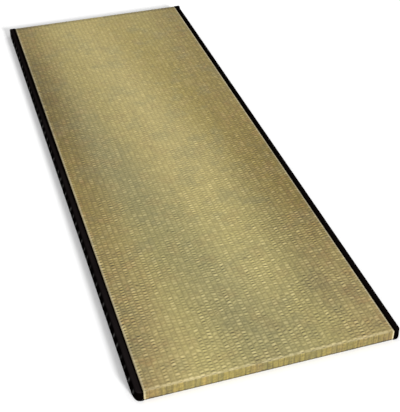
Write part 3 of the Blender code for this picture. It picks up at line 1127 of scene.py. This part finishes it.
def cloth_material(colours):
    """Fine plain-woven black cotton: threads in relief, painted sheen on top, painted highlights on pucker
    folds.
    """
    material, tree, shader = new_material("binding_cloth", 0.0)
    place = add_node(tree, "ShaderNodeTexCoord").outputs["Object"]
    side, length, _ = apart(tree, add_node(tree, "ShaderNodeUVMap", uv_map="unfolded").outputs["UV"])
    x, y, z = apart(tree, place)
    across = calc(tree, "DIVIDE", side, CLOTH_THREAD)
    along = calc(tree, "DIVIDE", length, 2 * CLOTH_THREAD)
    threads = use_group(tree, "plain_weave", Across=across, Along=along, Shift=0.5)
    tint = chance(tree, threads["Column"], 0.0, 5.0)
    shining = patches(tree, place, 14.0, 0.35, 0.70)
    from_edge = less(tree, size_of(tree, x), ramp(tree, y, -0.8, 0.6, 0.0, 0.0035))
    # Painted sheen on the binding tops: lighter on the left binding and towards the front, in patches, and
    # stopping short of the edge beside the rush
    share = times(
        tree, ramp(tree, z, THICKNESS - 0.004, THICKNESS - 0.001),
        ramp(tree, from_edge, BAND_EDGE + 0.0030, BAND_EDGE + 0.0062),
        ramp(tree, x, 0.05, -0.05, 0.25, 1.0),
        ramp(tree, shining, 0.0, 1.0, 0.75, 1.0),
        ramp(tree, y, 0.8, -0.8, 0.60, 1.0),
    )
    # Painted highlight on the folds of the puckers
    highlit = add_node(tree, "ShaderNodeAttribute", attribute_name="highlit").outputs["Fac"]
    layers = (share, 1.0, colours.sheen), (highlit, 1.0, colours.highlit)
    base = layered(tree, rgba(colours.cloth), layers)
    shade = toned(tree, 0.65, ((threads["Crown"], 0.0, 0.45), (tint, 0.5, 0.20)))
    feed(tree, shader.inputs["Base Color"], scaled(tree, base, shade))
    feed(tree, shader.inputs["Roughness"], calc(tree, "MULTIPLY_ADD", threads["Crown"], -0.10, 0.92))
    relief(tree, shader, threads["Crown"], 0.0002, 0.6)
    return material


def thread_material(colours, sizes):
    """Twisted black sewing thread, a little glossier than the cloth."""
    material, tree, shader = new_material("sewing_thread", 0.4)
    _, y, z = apart(tree, add_node(tree, "ShaderNodeTexCoord").outputs["Object"])
    twist = calc(tree, "DIVIDE", calc(tree, "ADD", y, times(tree, z, 1.5)), sizes.thread)
    crown = use_group(tree, "plain_weave", Across=0.5, Along=twist)["Crown"]
    shade = calc(tree, "MULTIPLY_ADD", crown, 0.7, 0.5)
    feed(tree, shader.inputs["Base Color"], scaled(tree, tuple(colours.thread), shade))
    feed(tree, shader.inputs["Roughness"], calc(tree, "MULTIPLY_ADD", crown, -0.15, 0.6))
    relief(tree, shader, crown, 0.0001, 0.5)
    return material


def floor_material(colours):
    """Plain pale studio floor."""
    material, _, shader = new_material("studio_floor", 0.0)
    shader.inputs["Base Color"].default_value = rgba(colours.floor)
    shader.inputs["Roughness"].default_value = 0.9
    return material


class TATAMI_OT_rush_cover(bpy.types.Operator):
    """Makes the woven rush cover round the board."""

    bl_idname = "mesh.tatami_rush_cover"
    bl_label = "Rush Cover"

    def execute(self, context):
        sizes = context.scene.tatami_sizes
        cover = make_rush_cover(sizes, rush_material(sizes, context.scene.tatami_colours))
        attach(cover, "root")
        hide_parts("rush_mat")
        return {"FINISHED"}


class TATAMI_OT_bindings(bpy.types.Operator):
    """Makes the cloth binding on each long side."""

    bl_idname = "mesh.tatami_bindings"
    bl_label = "Bindings"

    def execute(self, context):
        sizes = context.scene.tatami_sizes
        material = cloth_material(context.scene.tatami_colours)
        for word, side in (("left", -1), ("right", 1)):
            cloth = make_binding_cloth("binding_cloth_" + word, side, sizes, material)
            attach(cloth, "root")
            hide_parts("binding_" + word)
        return {"FINISHED"}


class TATAMI_OT_stitches(bpy.types.Operator):
    """Makes the stitches low on each long side."""

    bl_idname = "mesh.tatami_stitches"
    bl_label = "Stitches"

    def execute(self, context):
        sizes = context.scene.tatami_sizes
        material = thread_material(context.scene.tatami_colours, sizes)
        for word, side in (("left", -1), ("right", 1)):
            stitches = make_stitches("stitches_" + word, side, sizes, material)
            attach(stitches, "root")
        return {"FINISHED"}


def place_camera(scene):
    """The camera: it looks along its azimuth, tipped down by its dip, with the fitted focal length."""
    forward = Vector((
        math.cos(CAMERA_AZIMUTH) * math.cos(CAMERA_DIP),
        math.sin(CAMERA_AZIMUTH) * math.cos(CAMERA_DIP),
        -math.sin(CAMERA_DIP),
    ))
    right = Vector((math.sin(CAMERA_AZIMUTH), -math.cos(CAMERA_AZIMUTH), 0.0))
    up = right.cross(forward)
    turned_right = right * math.cos(CAMERA_ROLL) + up * math.sin(CAMERA_ROLL)
    turned_up = up * math.cos(CAMERA_ROLL) - right * math.sin(CAMERA_ROLL)
    lens = bpy.data.cameras.new("camera")
    lens.sensor_fit = "VERTICAL"
    lens.sensor_height = SENSOR
    lens.lens = FOCAL_PIXELS * SENSOR / PICTURE_HEIGHT
    camera = bpy.data.objects.new("camera", lens)
    turn = Matrix((turned_right, turned_up, -forward)).transposed()
    camera.matrix_world = Matrix.Translation(CAMERA_PLACE) @ turn.to_4x4()
    scene.collection.objects.link(camera)
    scene.camera = camera


class TATAMI_OT_stage(bpy.types.Operator):
    """Makes the pale floor, the soft light and the camera."""

    bl_idname = "scene.tatami_stage"
    bl_label = "Stage"

    def execute(self, context):
        scene = context.scene
        half = FLOOR_SIZE / 2
        corners = np.array([[-half, -half], [half, -half], [half, half], [-half, half]])
        points = np.column_stack([corners, np.full(4, FLOOR_LEVEL)])
        face = np.arange(4).reshape(1, 4)
        material = floor_material(scene.tatami_colours)
        floor = new_piece("studio_floor", points, [face], [corners[None]], material)
        key = bpy.data.lights.new("key_light", "SUN")
        key.energy = 4.4
        key.angle = math.radians(10)
        key_light = bpy.data.objects.new("key_light", key)
        key_light.rotation_euler = Vector(KEY_FROM).to_track_quat("Z", "Y").to_euler()
        scene.collection.objects.link(key_light)
        world = bpy.data.worlds.new("studio_light")
        world.use_nodes = True
        world.node_tree.nodes["Background"].inputs["Color"].default_value = (1.0, 1.0, 1.0, 1.0)
        world.node_tree.nodes["Background"].inputs["Strength"].default_value = 0.76
        scene.world = world
        scene.view_settings.view_transform = "Standard"
        scene.view_settings.look = "None"
        place_camera(scene)
        return {"FINISHED"}


class TATAMI_PT_panel(bpy.types.Panel):
    """Lists the mat's sizes, colours and pieces in the sidebar."""

    bl_idname = "TATAMI_PT_panel"
    bl_label = "Tatami Mat"
    bl_space_type = "VIEW_3D"
    bl_region_type = "UI"
    bl_category = "Tatami Mat"

    def draw(self, context):
        layout = self.layout
        for group in (context.scene.tatami_sizes, context.scene.tatami_colours):
            box = layout.box()
            for name in group.__annotations__:
                box.prop(group, name)
        for maker in PIECE_MAKERS:
            layout.operator(maker.bl_idname)


PIECE_MAKERS = (TATAMI_OT_stage, TATAMI_OT_rush_cover, TATAMI_OT_bindings, TATAMI_OT_stitches)
CLASSES = (TatamiSizes, TatamiColours) + PIECE_MAKERS + (TATAMI_PT_panel,)


def register():
    for entry in CLASSES:
        bpy.utils.register_class(entry)
    bpy.types.Scene.tatami_sizes = PointerProperty(type=TatamiSizes)
    bpy.types.Scene.tatami_colours = PointerProperty(type=TatamiColours)


def unregister():
    del bpy.types.Scene.tatami_colours
    del bpy.types.Scene.tatami_sizes
    for entry in reversed(CLASSES):
        bpy.utils.unregister_class(entry)


def main():
    register()
    bpy.ops.scene.tatami_stage()
    bpy.ops.mesh.tatami_rush_cover()
    bpy.ops.mesh.tatami_bindings()
    bpy.ops.mesh.tatami_stitches()


if __name__ == "__main__":
    main()
